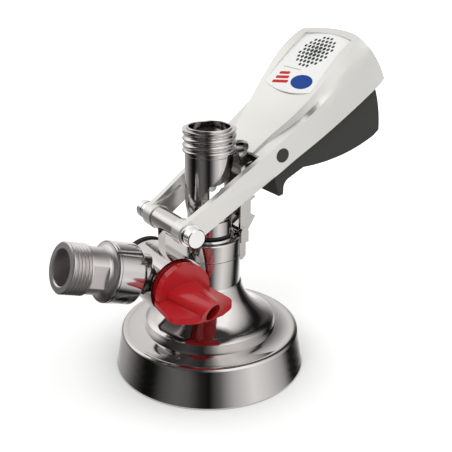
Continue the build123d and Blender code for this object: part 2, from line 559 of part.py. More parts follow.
def label_plan(inset):
    """Outline of the label, bowed at both ends."""
    y, u0, u1 = LABEL_Y - inset, LABEL_U0 + inset, LABEL_U1 - inset
    return make_face([
        Line((u0 + 2.4, y), (u1 - 2.4, y - 0.6)),
        ThreePointArc((u1 - 2.4, y - 0.6), (u1, 0), (u1 - 2.4, -y + 0.6)),
        Line((u1 - 2.4, -y + 0.6), (u0 + 2.4, -y)),
        ThreePointArc((u0 + 2.4, -y), (u0, 0), (u0 + 2.4, y)),
    ])


def arm_outline():
    """Side view of one arm, rounded about the hinge."""
    return make_face([
        ThreePointArc((0.0, BOSS_R), (-BOSS_R, 0), (0.0, -BOSS_R)),
        Polyline((0.0, -BOSS_R), (ARM_END, -6.0), (ARM_END, 5.2), (6.5, BOSS_R - 0.3),
                 (0.0, BOSS_R)),
    ])


def arms():
    """Two splayed plates with their hinge bosses, cam ribs and working lugs."""
    flare = SPLAY * ARM_END
    plate = prism(Polygon((-8, ARM_Y - 8 * SPLAY), (ARM_END, ARM_Y + flare),
                          (ARM_END, ARM_Y + flare - ARM_T), (-8, ARM_Y - 8 * SPLAY - ARM_T),
                          align=None), -10, 10)
    rib_zone = prism(Polygon((-8, ARM_Y - 1 - 8 * SPLAY), (ARM_END, ARM_Y - 1 + flare),
                             (ARM_END, ARM_Y + flare - ARM_T - 0.9),
                             (-8, ARM_Y - 8 * SPLAY - ARM_T - 0.9), align=None), -10, 10)
    rib = make_face([
        ThreePointArc((3.0, 4.6), (8.6, 2.6), (17.0, 1.9)),
        Line((17.0, 1.9), (17.0, 0.4)),
        ThreePointArc((17.0, 0.4), (7.9, 1.2), (1.4, 4.6)),
        Line((1.4, 4.6), (3.0, 4.6)),
    ])
    arm = slab(arm_outline(), 0, 30) & plate
    arm += slab(rib, 0, 30) & rib_zone
    arm += cross_rod(BOSS_R, 0, 0, BARREL_Y + FACE, BOSS_STEP)
    arm += cross_rod(BOSS_R - 0.5, 0, 0, BOSS_STEP - 1, BOSS_Y)
    arm += cross_rod(LUG_R, LUG_U, LUG_W, LUG_Y, ARM_Y + SPLAY * LUG_U - 1.0)
    return both_sides(arm)


def grip_shell():
    """Flared hollow grip, its top dished between two ridges."""
    outer = loft([grip_section(row) for row in GRIP]) & grip_end(0)
    hollow = loft([grip_section(row, True) for row in GRIP]) & grip_end(SHELL_T)
    notch = Pos(NOTCH_U, 0, -20) * extrude(Circle(NOTCH_R), amount=60)
    corner = slab(Polygon((107.5, -6.25), (107.5, -12), (122, -12), (122, -3.0), align=None),
                  -30, 30)
    floor = slab(crown_line(0), -30, 30)
    recess = prism(label_plan(0), -20, 30) - floor
    return outer - hollow - notch - corner - recess


def envelope():
    """Solid outside of the grip, for pieces that end flush with its sides."""
    return loft([grip_section(row) for row in GRIP])


def lever():
    """Forked lever with its grip; one casting."""
    piece = arms() + grip_shell()
    boss = cross_rod(4.6, PIVOT_U, PIVOT_W, EAR_Y1 + 2.6, PLUG_Y + 1.0) & envelope()
    piece += both_sides(boss)
    piece -= cross_rod(PIN_R + RUN, 0, 0, -30, 30)
    piece -= cross_rod(PIVOT_R + PRESS, PIVOT_U, PIVOT_W, -30, 30)
    piece -= both_sides(cross_rod(PLUG_R + PRESS, PIVOT_U, PIVOT_W, PLUG_Y, 30))
    return LEVER * piece


def label_plate():
    """Thin plate in the recess on top of the grip."""
    sheet = slab(crown_line(-LABEL_T), -30, 30) - slab(crown_line(0), -40, 40)
    return LEVER * (sheet & prism(label_plan(RUN), -20, 30))


def trigger_pin():
    """Pivot of the trigger."""
    return LEVER * cross_rod(PIVOT_R, PIVOT_U, PIVOT_W, -PLUG_Y + RUN, PLUG_Y - RUN)


def pivot_plugs():
    """Caps over the trigger's pivot, flush with the lever's sides."""
    plug = cross_rod(PLUG_R, PIVOT_U, PIVOT_W, PLUG_Y, 30) & envelope()
    return [LEVER * plug, LEVER * mirror(plug, about=Plane.XZ)]


def trigger_spring():
    """Coil around the trigger's pivot."""
    wire, mean, pitch, length = 0.5, PIVOT_R + 0.25 + 0.5, 1.6, 9.6
    path = Helix(pitch, length, mean)
    coil = sweep(Plane(origin=path @ 0, z_dir=path % 0) * Circle(wire), path=path)
    return LEVER * (Pos(PIVOT_U, length / 2, PIVOT_W) * Rot(90, 0, 0) * coil)


def trigger():
    """Latch trigger: pivot ears, nose and hollow paddle in one moulding."""
    side = make_face([
        Polyline((44.0, -6.6), (41.9, -16.5), (44.1, -17.2), (45.3, -15.3)),
        ThreePointArc((45.3, -15.3), (46.9, -13.4), (49.7, -12.6)),
        Line((49.7, -12.6), (58.1, -13.4)),
        ThreePointArc((58.1, -13.4), (75.8, -22.2), (95.6, -27.0)),
        Polyline((95.6, -27.0), (99.8, -26.6)),
        ThreePointArc((99.8, -26.6), (103.7, -18.2), (106.4, -7.3)),
        Line((106.4, -7.3), (44.0, -6.6)),
    ])
    half_low = ARM_Y + SPLAY * 41.9 - SIDE_T - SOFT
    half_high = GRIP[-1][1][0] - SIDE_T - SOFT - TRIGGER_SIDE
    plan = Polygon((40, half_low), (40, -half_low), (81, -half_high + 0.7), (108, -half_high),
                   (108, half_high), (81, half_high - 0.7), align=None)
    body = slab(side, -30, 30) & prism(plan, -40, 10)
    pocket = make_face([
        Polyline((57.5, 0), (57.5, -9.6)),
        ThreePointArc((57.5, -9.6), (76.8, -18.9), (94.6, -23.6)),
        Polyline((94.6, -23.6), (98.0, -23.4), (103.4, -7.0), (103.4, 0), (57.5, 0)),
    ])
    inner = Polygon((50, half_low - 1.6), (50, -half_low + 1.6), (103.4, -half_high + TRIGGER_T),
                    (103.4, half_high - TRIGGER_T), align=None)
    body -= slab(pocket, -30, 30) & prism(inner, -40, 10)
    ear = cross_rod(EAR_R, PIVOT_U, PIVOT_W, EAR_Y0, EAR_Y1)
    ear += block(PIVOT_U - 3.2, PIVOT_U + EAR_R, EAR_Y0, EAR_Y1, -8.0, PIVOT_W)
    body += both_sides(ear)
    body -= cross_rod(PIVOT_R + RUN, PIVOT_U, PIVOT_W, -30, 30)
    return LEVER * body


PIECES = (
    coupler_body, bell_skirt, keg_seal, latch_guide, hinge_pin, pin_cap, hinge_washers,
    check_valve_housing, gas_inlet_nipple, gas_check_valve, housing_gasket, valve_cap,
    valve_stem, stem_rings, stem_clip, valve_knob, probe, probe_rings, beer_outlet_nipple,
    probe_retainer, probe_seal, beer_check_ball, ball_stop_pin, lever, label_plate,
    trigger_pin, pivot_plugs, trigger_spring, trigger,
)


def main():
    """Write one STEP file per piece, named after the function that makes it."""
    os.makedirs("parts", exist_ok=True)
    for make in PIECES:
        shape = make()
        solids = shape if isinstance(shape, list) else [shape]
        export_step(Compound(children=[s for item in solids for s in item.solids()]),
                    f"parts/{make.__name__}.step")


main()
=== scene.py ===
"""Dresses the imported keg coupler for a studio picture."""

import logging
from dataclasses import dataclass, field
from enum import Enum
from math import atan2, cos, hypot, pi, radians, sin, sqrt

import bmesh
import bpy
from mathutils import Matrix, Vector


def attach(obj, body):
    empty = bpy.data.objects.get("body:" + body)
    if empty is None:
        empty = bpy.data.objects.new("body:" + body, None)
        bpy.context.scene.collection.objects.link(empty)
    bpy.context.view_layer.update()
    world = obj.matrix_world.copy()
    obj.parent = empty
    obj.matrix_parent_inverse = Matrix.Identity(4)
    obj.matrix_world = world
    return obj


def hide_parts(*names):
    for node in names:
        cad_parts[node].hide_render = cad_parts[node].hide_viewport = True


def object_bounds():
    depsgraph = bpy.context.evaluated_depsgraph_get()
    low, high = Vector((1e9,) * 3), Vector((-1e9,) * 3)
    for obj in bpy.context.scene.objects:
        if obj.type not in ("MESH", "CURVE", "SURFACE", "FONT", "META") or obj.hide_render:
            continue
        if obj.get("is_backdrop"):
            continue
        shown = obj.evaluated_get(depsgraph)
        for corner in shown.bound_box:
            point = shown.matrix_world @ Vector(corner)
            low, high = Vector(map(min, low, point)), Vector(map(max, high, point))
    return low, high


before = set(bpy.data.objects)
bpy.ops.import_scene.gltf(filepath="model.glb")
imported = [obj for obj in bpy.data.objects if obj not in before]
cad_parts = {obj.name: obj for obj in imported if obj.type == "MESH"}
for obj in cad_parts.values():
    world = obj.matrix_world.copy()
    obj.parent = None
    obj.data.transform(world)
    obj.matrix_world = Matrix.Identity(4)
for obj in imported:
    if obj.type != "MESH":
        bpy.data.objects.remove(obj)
log = logging.getLogger("keg_coupler")
MM = 0.001
PIECE_WELD = 2e-7            # metres: vertices closer than this merge in a finished piece
SPIN_WELD = 1e-6             # the same in a spun form
NODE_WELD = 2e-6             # the same in the copy of a CAD node
COAT_ROUGHNESS = 0.12
LEAST_ROUGHNESS = 0.02
SMUDGE_DETAIL, GRAIN_DETAIL = 4.0, 3.0
ROUGH_FROM, ROUGH_TO = 0.3, 0.7     # the smudge noise that spans the roughness range
TINT_FROM, TINT_TO = 0.25, 0.75     # the smudge noise that spans the tint
GRAIN_DEPTH = 0.1            # depth of the bump as a share of its grain
ROUNDING_STEPS = 2           # segments of a rounded edge
NEAR = 0.01                  # millimetres: slack where stations are compared
HALVINGS = 24                # steps of the search for a mirror angle


class Body(Enum):
    """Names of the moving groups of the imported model."""

    HOUSING = "housing"
    VALVE = "valve"
    PROBE = "probe"
    LEVER = "lever"
    TRIGGER = "trigger"


class Slot(Enum):
    """Material slots of the record that new pieces take their finish from."""

    STEEL = "polished_steel"
    SKIRT = "skirt_steel"
    THREAD = "dark_thread"
    PIN = "pin_steel"
    LEVER = "lever_metal"
    RED = "red_plastic"
    BLACK = "black_plastic"
    LABEL = "label_white"


# ---------------------------------------------------------------------------- finishes
@dataclass(frozen=True)
class Finish:
    """One procedural material: a base colour with its own grain and wear.

    Attributes:
        name: Material name.
        color: Linear base colour.
        metallic: Metallic share.
        roughness: Middle of the roughness range.
        spread: How far the roughness wanders either way.
        patch: Size of the smudges in metres.
        grain: Size of the bump grain in metres.
        bump: Strength of the bump.
        tint: How much the colour darkens in the smudges.
        coat: Clear coat weight.
        specular: Specular level of plastics.
    """

    name: str
    color: tuple[float, float, float]
    metallic: float
    roughness: float
    spread: float
    patch: float
    grain: float
    bump: float
    tint: float = 0.06
    coat: float = 0.0
    specular: float = 0.5

    def build(self) -> bpy.types.Material:
        """Makes the material, or returns it if it exists.

        Returns:
            The node material.
        """
        found = bpy.data.materials.get(self.name)
        if found:
            return found
        material = bpy.data.materials.new(self.name)
        material.use_nodes = True
        nodes, links = material.node_tree.nodes, material.node_tree.links
        shader = nodes["Principled BSDF"]
        shader.inputs["Metallic"].default_value = self.metallic
        shader.inputs["Coat Weight"].default_value = self.coat
        shader.inputs["Coat Roughness"].default_value = COAT_ROUGHNESS
        shader.inputs["Specular IOR Level"].default_value = self.specular
        coords = nodes.new("ShaderNodeTexCoord")
        smudge = nodes.new("ShaderNodeTexNoise")
        smudge.inputs["Scale"].default_value = 1.0 / self.patch
        smudge.inputs["Detail"].default_value = SMUDGE_DETAIL
        links.new(coords.outputs["Object"], smudge.inputs["Vector"])
        rough = nodes.new("ShaderNodeMapRange")
        rough.inputs["From Min"].default_value = ROUGH_FROM
        rough.inputs["From Max"].default_value = ROUGH_TO
        least = max(LEAST_ROUGHNESS, self.roughness - self.spread)
        rough.inputs["To Min"].default_value = least
        rough.inputs["To Max"].default_value = self.roughness + self.spread
        links.new(smudge.outputs["Fac"], rough.inputs["Value"])
        links.new(rough.outputs["Result"], shader.inputs["Roughness"])
        ramp = nodes.new("ShaderNodeValToRGB")
        ramp.color_ramp.elements[0].position = TINT_FROM
        ramp.color_ramp.elements[1].position = TINT_TO
        dark = tuple(c * (1.0 - self.tint) for c in self.color)
        ramp.color_ramp.elements[0].color = (*dark, 1.0)
        ramp.color_ramp.elements[1].color = (*self.color, 1.0)
        links.new(smudge.outputs["Fac"], ramp.inputs["Fac"])
        links.new(ramp.outputs["Color"], shader.inputs["Base Color"])
        fine = nodes.new("ShaderNodeTexNoise")
        fine.inputs["Scale"].default_value = 1.0 / self.grain
        fine.inputs["Detail"].default_value = GRAIN_DETAIL
        links.new(coords.outputs["Object"], fine.inputs["Vector"])
        bump = nodes.new("ShaderNodeBump")
        bump.inputs["Strength"].default_value = self.bump
        bump.inputs["Distance"].default_value = self.grain * GRAIN_DEPTH
        links.new(fine.outputs["Fac"], bump.inputs["Height"])
        links.new(bump.outputs["Normal"], shader.inputs["Normal"])
        return material


POLISHED = Finish("polished_steel", (0.66, 0.625, 0.615), 1.0, 0.17, 0.03, 0.03, 0.0012, 0.02)
SKIRT = Finish("skirt_steel", (0.63, 0.60, 0.595), 1.0, 0.20, 0.03, 0.04, 0.0012, 0.02)
DARK_THREAD = Finish("thread_steel", (0.76, 0.73, 0.72), 1.0, 0.40, 0.06, 0.012, 0.0006, 0.12)
PIN = Finish("pin_steel", (0.86, 0.86, 0.85), 1.0, 0.18, 0.03, 0.02, 0.0008, 0.03)
SATIN = Finish("lever_satin", (0.72, 0.72, 0.69), 0.80, 0.30, 0.03, 0.05, 0.0005, 0.06, 0.02)
RED = Finish("red_plastic", (0.33, 0.006, 0.009), 0.0, 0.50, 0.05, 0.02, 0.0007, 0.10,
             specular=0.03)
BLACK = Finish("black_plastic", (0.012, 0.011, 0.010), 0.0, 0.50, 0.05, 0.02, 0.0005, 0.16,
               specular=0.10)
RUBBER = Finish("seal_rubber", (0.018, 0.018, 0.018), 0.0, 0.62, 0.06, 0.01, 0.0006, 0.15)
LABEL = Finish("label_film", (0.82, 0.82, 0.81), 0.0, 0.32, 0.04, 0.03, 0.0009, 0.03, 0.02)
INK = Finish("label_ink", (0.012, 0.030, 0.028), 0.0, 0.40, 0.04, 0.01, 0.0006, 0.03,
             specular=0.12)
BLUE_INK = Finish("label_blue", (0.004, 0.050, 0.27), 0.0, 0.36, 0.04, 0.01, 0.0006, 0.03,
                  specular=0.12)
GREY_INK = Finish("label_grey", (0.30, 0.30, 0.30), 0.0, 0.40, 0.04, 0.01, 0.0006, 0.03)
RED_INK = Finish("label_red", (0.55, 0.022, 0.020), 0.0, 0.36, 0.04, 0.01, 0.0006, 0.03,
                 specular=0.12)
BALL = Finish("ball_plastic", (0.72, 0.72, 0.69), 0.0, 0.3, 0.05, 0.01, 0.0006, 0.05)
SPRING = Finish("spring_steel", (0.5, 0.5, 0.49), 1.0, 0.3, 0.05, 0.01, 0.0006, 0.05)


# ---------------------------------------------------------------------------- mesh tools
def place(mesh: bmesh.types.BMesh, name: str, finish: Finish, body: Body,
          sharp: float = 32.0) -> bpy.types.Object:
    """Turns a finished bmesh into a piece that rides on a body.

    Args:
        mesh: The mesh in metres, in the row frame.
        name: Piece name.
        finish: Its finish.
        body: The body it moves with.
        sharp: Edges that turn by more than this many degrees stay sharp.

    Returns:
        The new object.
    """
    bmesh.ops.remove_doubles(mesh, verts=mesh.verts, dist=PIECE_WELD)
    mesh.normal_update()
    for face in mesh.faces:
        face.smooth = True
    for edge in mesh.edges:
        edge.smooth = len(edge.link_faces) == 2 and edge.calc_face_angle(0.0) < radians(sharp)
    data = bpy.data.meshes.new(name)
    mesh.to_mesh(data)
    mesh.free()
    data.materials.append(finish.build())
    piece = bpy.data.objects.new(name, data)
    bpy.context.scene.collection.objects.link(piece)
    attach(piece, body.value)
    log.info("%s: %d faces", name, len(data.polygons))
    return piece


def lathe(profile: list[tuple[float, float]], steps: int = 160,
          place_in: Matrix = Matrix.Identity(4)) -> bmesh.types.BMesh:
    """Spins a closed (radius, station) outline about the local Z axis.

    Args:
        profile: Corners in millimetres.
        steps: Segments around.
        place_in: Frame of the axis, in metres.

    Returns:
        The spun mesh.
    """
    mesh = bmesh.new()
    corners = [mesh.verts.new((r * MM, 0.0, z * MM)) for r, z in eased(profile)]
    edges = [mesh.edges.new((a, b)) for a, b in zip(corners, corners[1:] + corners[:1])]
    bmesh.ops.spin(mesh, geom=corners + edges, cent=(0, 0, 0), axis=(0, 0, 1), dvec=(0, 0, 0),
                   angle=2 * pi, steps=steps, use_merge=True, use_normal_flip=False,
                   use_duplicate=False)
    bmesh.ops.remove_doubles(mesh, verts=mesh.verts, dist=SPIN_WELD)
    bmesh.ops.recalc_face_normals(mesh, faces=mesh.faces)
    mesh.transform(place_in)
    return mesh


def eased(profile: list[tuple[float, float]], near: float = 0.2) -> list[tuple[float, float]]:
    """Adds a point near both ends of each long span, so its shading stays flat.

    Args:
        profile: Corners in millimetres.
        near: Distance of the added points from the corners.

    Returns:
        The profile with the added points.
    """
    points = []
    for (r0, z0), (r1, z1) in zip(profile, profile[1:] + profile[:1]):
        points.append((r0, z0))
        span = hypot(r1 - r0, z1 - z0)
        if span > 4 * near:
            share = near / span
            points.append((r0 + (r1 - r0) * share, z0 + (z1 - z0) * share))
            points.append((r1 - (r1 - r0) * share, z1 - (z1 - z0) * share))
    return points


def node_copy(node: str) -> bmesh.types.BMesh:
    """A merged copy of a CAD node's mesh.

    Args:
        node: The CAD node.

    Returns:
        The copy, in metres.
    """
    mesh = bmesh.new()
    mesh.from_mesh(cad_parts[node].data)
    bmesh.ops.remove_doubles(mesh, verts=mesh.verts, dist=NODE_WELD)
    return mesh


def dress_copy(node: str, name: str, finish: Finish, body: Body,
               round_mm: float = 0.0, sharp: float = 28.0) -> bpy.types.Object:
    """Shows a merged and smoothed copy in place of a CAD node.

    Args:
        node: The CAD node.
        name: Name of the piece.
        finish: Its finish.
        body: The body it moves with.
        round_mm: Size of the rounding on its edges, or 0.
        sharp: Edges that turn by more than this many degrees stay sharp.

    Returns:
        The new object.
    """
    piece = place(node_copy(node), name, finish, body, sharp)
    if round_mm:
        bevel = piece.modifiers.new("edge_rounding", "BEVEL")
        bevel.width = round_mm * MM
        bevel.segments = ROUNDING_STEPS
        bevel.limit_method = "ANGLE"
        bevel.angle_limit = radians(sharp)
        bevel.harden_normals = True
    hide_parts(node)
    return piece


# ---------------------------------------------------------------------------- threads
@dataclass
class Thread:
    """A rounded external thread on a tube.

    Attributes:
        crest: Crest radius in millimetres.
        root: Root radius.
        pitch: Distance between crests.
        start: Station where it fades in.
        end: Station where it fades out.
        fade_in: Length of the fade at the start, in pitches.
        fade_out: Length of the fade at the end, in pitches.
        crown: Power that rounds the crests and sharpens the roots.
        margin: How far inside the root a wall still counts as the outer one.
    """

    crest: float
    root: float
    pitch: float
    start: float
    end: float
    fade_in: float = 0.5
    fade_out: float = 0.35
    crown: float = 0.7
    margin: float = 0.1

    def cut(self, mesh: bmesh.types.BMesh) -> None:
        """Presses the helix into the outer wall of a mesh spun about Z.

        Args:
            mesh: The spun tube, still on its own axis.
        """
        depth = (self.crest - self.root) * MM
        for vert in mesh.verts:
            radius = hypot(vert.co.x, vert.co.y)
            z = vert.co.z / MM
            along = self.start - NEAR < z < self.end + NEAR
            if radius < (self.root - self.margin) * MM or not along:
                continue
            turn = atan2(vert.co.y, vert.co.x) / (2 * pi)
            phase = ((z - self.start) / self.pitch - turn) % 1.0
            wave = 0.5 - 0.5 * cos(2 * pi * phase)
            fade = min(1.0, (z - self.start) / (self.fade_in * self.pitch),
                       (self.end - z) / (self.fade_out * self.pitch))
            drop = depth * (1.0 - wave ** self.crown) * max(0.0, fade)
            scale = (radius - drop) / radius
            vert.co.x *= scale
            vert.co.y *= scale


def stations(low: float, high: float, step: float) -> list[float]:
    """Evenly spaced stations from low to high, both included.

    Args:
        low: First station.
        high: Last station.
        step: Distance between them, as near as it divides.

    Returns:
        The stations.
    """
    count = max(1, round((high - low) / step))
    return [low + (high - low) * i / count for i in range(count + 1)]


# ---------------------------------------------------------------------------- sub-assemblies
class Housing:
    """Skirt, body, cap, latch guide and the hinge pin with its cap and washers."""

    def build(self) -> None:
        """Builds and dresses the still pieces."""
        dress_copy("bell_skirt", "skirt_shell", SKIRT, Body.HOUSING)
        dress_copy("coupler_body", "body_casting", POLISHED, Body.HOUSING, 0.35)
        dress_copy("latch_guide", "guide_channel", POLISHED, Body.HOUSING, 0.25)
        dress_copy("valve_cap", "boss_cap", BLACK, Body.HOUSING, 0.25)
        dress_copy("hinge_pin", "hinge_pin_head", PIN, Body.HOUSING, 0.15)
        dress_copy("pin_cap", "pin_end_cap", PIN, Body.HOUSING, 0.15)
        dress_copy("hinge_washers", "hinge_washer_pair", PIN, Body.HOUSING)


@dataclass
class GasSide:
    """Check-valve housing, threaded inlet and the red knob.

    Attributes:
        axis_z: Height where the inlet axis meets the probe's axis.
        tilt: Slope of the axis in degrees.
        flats: Half width across the wrench flats.
        flats_from: Station where the flats start.
        flats_to: Station where they end.
        thread: The inlet's thread.
    """

    axis_z: float = 38.7
    tilt: float = 19.4
    flats: float = 8.4
    flats_from: float = 57.02
    flats_to: float = 63.9
    thread: Thread = field(default_factory=lambda: Thread(10.5, 9.75, 1.48, 64.7, 72.9))

    @property
    def axis(self) -> Matrix:
        """Frame whose Z axis runs out along the inlet.

        Returns:
            The frame, in metres.
        """
        slope = radians(self.tilt)
        z_dir = Vector((-cos(slope), 0.0, sin(slope)))
        x_dir = Vector((0.0, 1.0, 0.0))
        turn = Matrix((x_dir, z_dir.cross(x_dir), z_dir)).transposed().to_4x4()
        return Matrix.Translation((0, 0, self.axis_z * MM)) @ turn

    def inlet(self) -> None:
        """Builds the inlet nipple with its thread and flats."""
        outer = [(10.0, 50.2), (10.0, 54.55), (11.9, 54.55), (12.05, 54.8), (11.0, 55.1),
                 (10.25, 55.8), (9.85, 56.5), (9.7, 57.0)]
        outer += [(9.7, s) for s in stations(57.05, 64.2, 0.6)]
        outer += [(10.45, s) for s in stations(64.5, 73.0, 0.12)]
        outer += [(10.0, 73.5), (7.7, 73.5), (7.25, 73.0), (7.25, 62.5), (5.0, 60.0), (5.0, 50.2)]
        mesh = lathe(outer, 144)
        self.thread.cut(mesh)
        for vert in mesh.verts:
            if self.flats_from * MM < vert.co.z < self.flats_to * MM:
                vert.co.x = max(-self.flats * MM, min(self.flats * MM, vert.co.x))
        mesh.transform(self.axis)
        piece = place(mesh, "inlet_nipple", DARK_THREAD, Body.HOUSING, 40)
        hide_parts("gas_inlet_nipple")

    def housing(self) -> None:
        """Builds the turned check-valve housing with its thin front rim."""
        outer = [(7.0, 33.8), (7.0, 40.1), (10.4, 40.1), (12.5, 42.2), (12.75, 42.6),
                 (12.75, 52.9), (12.45, 53.1), (12.45, 53.35), (12.75, 53.55), (12.75, 54.1),
                 (12.35, 54.5), (10.05, 54.5), (10.05, 50.2), (8.0, 50.2), (8.0, 42.5),
                 (3.5, 42.5), (3.5, 33.8)]
        piece = place(lathe(outer, 160, self.axis), "check_housing", POLISHED, Body.HOUSING)
        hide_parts("check_valve_housing")

    def build(self) -> None:
        """Builds the gas side."""
        self.inlet()
        self.housing()
        dress_copy("valve_knob", "valve_knob_red", RED, Body.VALVE, 0.5)


@dataclass
class Probe:
    """Wide tube, waist and sleeve with the beer outlet.

    Attributes:
        thread: The outlet's rounded thread.
    """

    thread: Thread = field(default_factory=lambda: Thread(11.45, 10.4, 2.7, 99.6, 108.9))

    def outlet(self) -> None:
        """Builds the outlet nipple with its thread."""
        outer = [(8.4, 90.2), (8.4, 98.02), (10.3, 98.02), (10.45, 98.2), (10.45, 99.5)]
        outer += [(11.4, s) for s in stations(99.6, 108.9, 0.12)]
        outer += [(9.6, 109.0), (9.6, 109.5), (9.45, 109.7), (8.85, 109.7), (8.7, 109.5),
                  (8.7, 102.2), (6.3, 100.7), (6.3, 90.2)]
        mesh = lathe(outer, 160)
        self.thread.cut(mesh)
        piece = place(mesh, "outlet_nipple", POLISHED, Body.PROBE, 40)
        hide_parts("beer_outlet_nipple")

    def build(self) -> None:
        """Builds the probe's pieces."""
        self.outlet()
        dress_copy("probe", "probe_tube", POLISHED, Body.PROBE, 0.2)


@dataclass
class LabelPrint:
    """Generic print on the grip: a round field of dots, an oval, strokes and a rule.

    Sizes are in millimetres and places are (station along the lever, side offset).

    Attributes:
        dot_rows: Rows of dots either side of the middle one.
        dot_pitch: Distance between dots.
        dot_u: Station of the middle dot.
        dot_r: Radius of the middle dot.
        dot_shrink: How much smaller a dot at the rim is.
        oval_at: Middle of the oval.
        oval_half: Half its size along and across the lever.
        stroke_at: Middle of the first stroke.
        stroke_shift: Step from one stroke to the next.
        stroke_length: Length of the first stroke.
        stroke_loss: How much shorter each next stroke is.
        stroke_width: Width of a stroke.
        stroke_turn: Angle of the strokes from the side direction in degrees.
        stroke_count: Number of strokes.
        rule_at: Middle of the thin rule.
        rule_length: Its length.
        rule_width: Its width.
        thick: Thickness of the ink.
        clear: Gap between the label's face and the ink.
    """

    dot_rows: int = 4
    dot_pitch: float = 2.45
    dot_u: float = 98.6
    dot_r: float = 1.14
    dot_shrink: float = 0.42
    oval_at: tuple[float, float] = (81.8, -6.4)
    oval_half: tuple[float, float] = (3.6, 6.6)
    stroke_at: tuple[float, float] = (79.6, 6.2)
    stroke_shift: tuple[float, float] = (2.3, 0.5)
    stroke_length: float = 9.6
    stroke_loss: float = 1.6
    stroke_width: float = 1.5
    stroke_turn: float = 10
    stroke_count: int = 3
    rule_at: tuple[float, float] = (87.4, 5.0)
    rule_length: float = 12.0
    rule_width: float = 0.3
    thick: float = 0.03
    clear: float = 0.02

    def lift(self, u: float) -> float:
        """Height of the ink's underside at a station along the lever.

        Args:
            u: The station.

        Returns:
            The height in the lever's frame.
        """
        return LEVER.crown(u) + LEVER.label_t + self.clear

    def stamp(self, shape: bmesh.types.BMesh) -> bmesh.types.BMesh:
        """Lays a flat shape, drawn in (u, y), on the curved label.

        Args:
            shape: Flat shape in millimetres with its lower side at z = 0.

        Returns:
            The same mesh in place, in metres.
        """
        for vert in shape.verts:
            vert.co.z = self.lift(vert.co.x) + vert.co.z
        shape.transform(LEVER.axis @ Matrix.Scale(MM, 4))
        return shape

    def dot(self, u: float, y: float, radius: float, sides: int = 12) -> bmesh.types.BMesh:
        """A flat disc of ink.

        Args:
            u: Station along the lever.
            y: Side offset.
            radius: Its radius.
            sides: Corners of the disc.

        Returns:
            The disc before it is laid on the label.
        """
        mesh = bmesh.new()
        bmesh.ops.create_cone(mesh, cap_ends=True, segments=sides, radius1=radius, radius2=radius,
                              depth=self.thick,
                              matrix=Matrix.Translation((u, y, self.thick / 2)))
        return mesh

    def bar(self, u: float, y: float, length: float, width: float,
            turn: float) -> bmesh.types.BMesh:
        """A bar of ink with rounded ends.

        Args:
            u: Station of its middle.
            y: Side offset of its middle.
            length: Its length.
            width: Its width.
            turn: Angle from the side direction in degrees.

        Returns:
            The bar before it is laid on the label.
        """
        mesh = bmesh.new()
        bmesh.ops.create_cone(mesh, cap_ends=True, segments=32, radius1=width / 2,
                              radius2=width / 2, depth=self.thick,
                              matrix=Matrix.Translation((0, 0, self.thick / 2)))
        for vert in mesh.verts:
            vert.co.y += (length - width) / 2 * (1 if vert.co.y > 0 else -1)
        mesh.transform(Matrix.Translation((u, y, 0)) @ Matrix.Rotation(radians(turn), 4, "Z"))
        return mesh

    def oval(self, u: float, y: float, half_u: float, half_y: float) -> bmesh.types.BMesh:
        """An oval of ink.

        Args:
            u: Station of its middle.
            y: Side offset of its middle.
            half_u: Half its size along the lever.
            half_y: Half its size across.

        Returns:
            The oval before it is laid on the label.
        """
        mesh = self.dot(0.0, 0.0, 1.0, 64)
        mesh.transform(Matrix.Translation((u, y, 0)) @ Matrix.Diagonal((half_u, half_y, 1, 1)))
        return mesh

    def join(self, shapes: list[bmesh.types.BMesh], name: str, finish: Finish) -> None:
        """Puts several shapes into one piece on the label.

        Args:
            shapes: Flat shapes in (u, y).
            name: Name of the piece.
            finish: The ink.
        """
        whole = bmesh.new()
        for shape in shapes:
            data = bpy.data.meshes.new("stamp")
            self.stamp(shape).to_mesh(data)
            shape.free()
            whole.from_mesh(data)
            bpy.data.meshes.remove(data)
        place(whole, name, finish, Body.LEVER)

    def build(self) -> None:
        """Builds the dots, the oval, the strokes and the rule."""
        dots = []
        for row in range(-self.dot_rows, self.dot_rows + 1):
            shift = 0.5 * (row % 2)
            for column in range(-self.dot_rows, self.dot_rows + 1):
                u = row * self.dot_pitch * sqrt(3) / 2
                y = (column + shift) * self.dot_pitch
                far = hypot(u, y) / (self.dot_rows * self.dot_pitch)
                if far < 1.0:
                    dots.append(self.dot(self.dot_u + u, y, self.dot_r - self.dot_shrink * far))
        self.join(dots, "label_dots", INK)
        self.join([self.oval(*self.oval_at, *self.oval_half)], "label_oval", BLUE_INK)
        strokes = [self.bar(self.stroke_at[0] + self.stroke_shift[0] * i,
                            self.stroke_at[1] + self.stroke_shift[1] * i,
                            self.stroke_length - self.stroke_loss * i,
                            self.stroke_width, self.stroke_turn)
                   for i in range(self.stroke_count)]
        self.join(strokes, "label_strokes", RED_INK)
        self.join([self.bar(*self.rule_at, self.rule_length, self.rule_width, 0)],
                  "label_rule", GREY_INK)


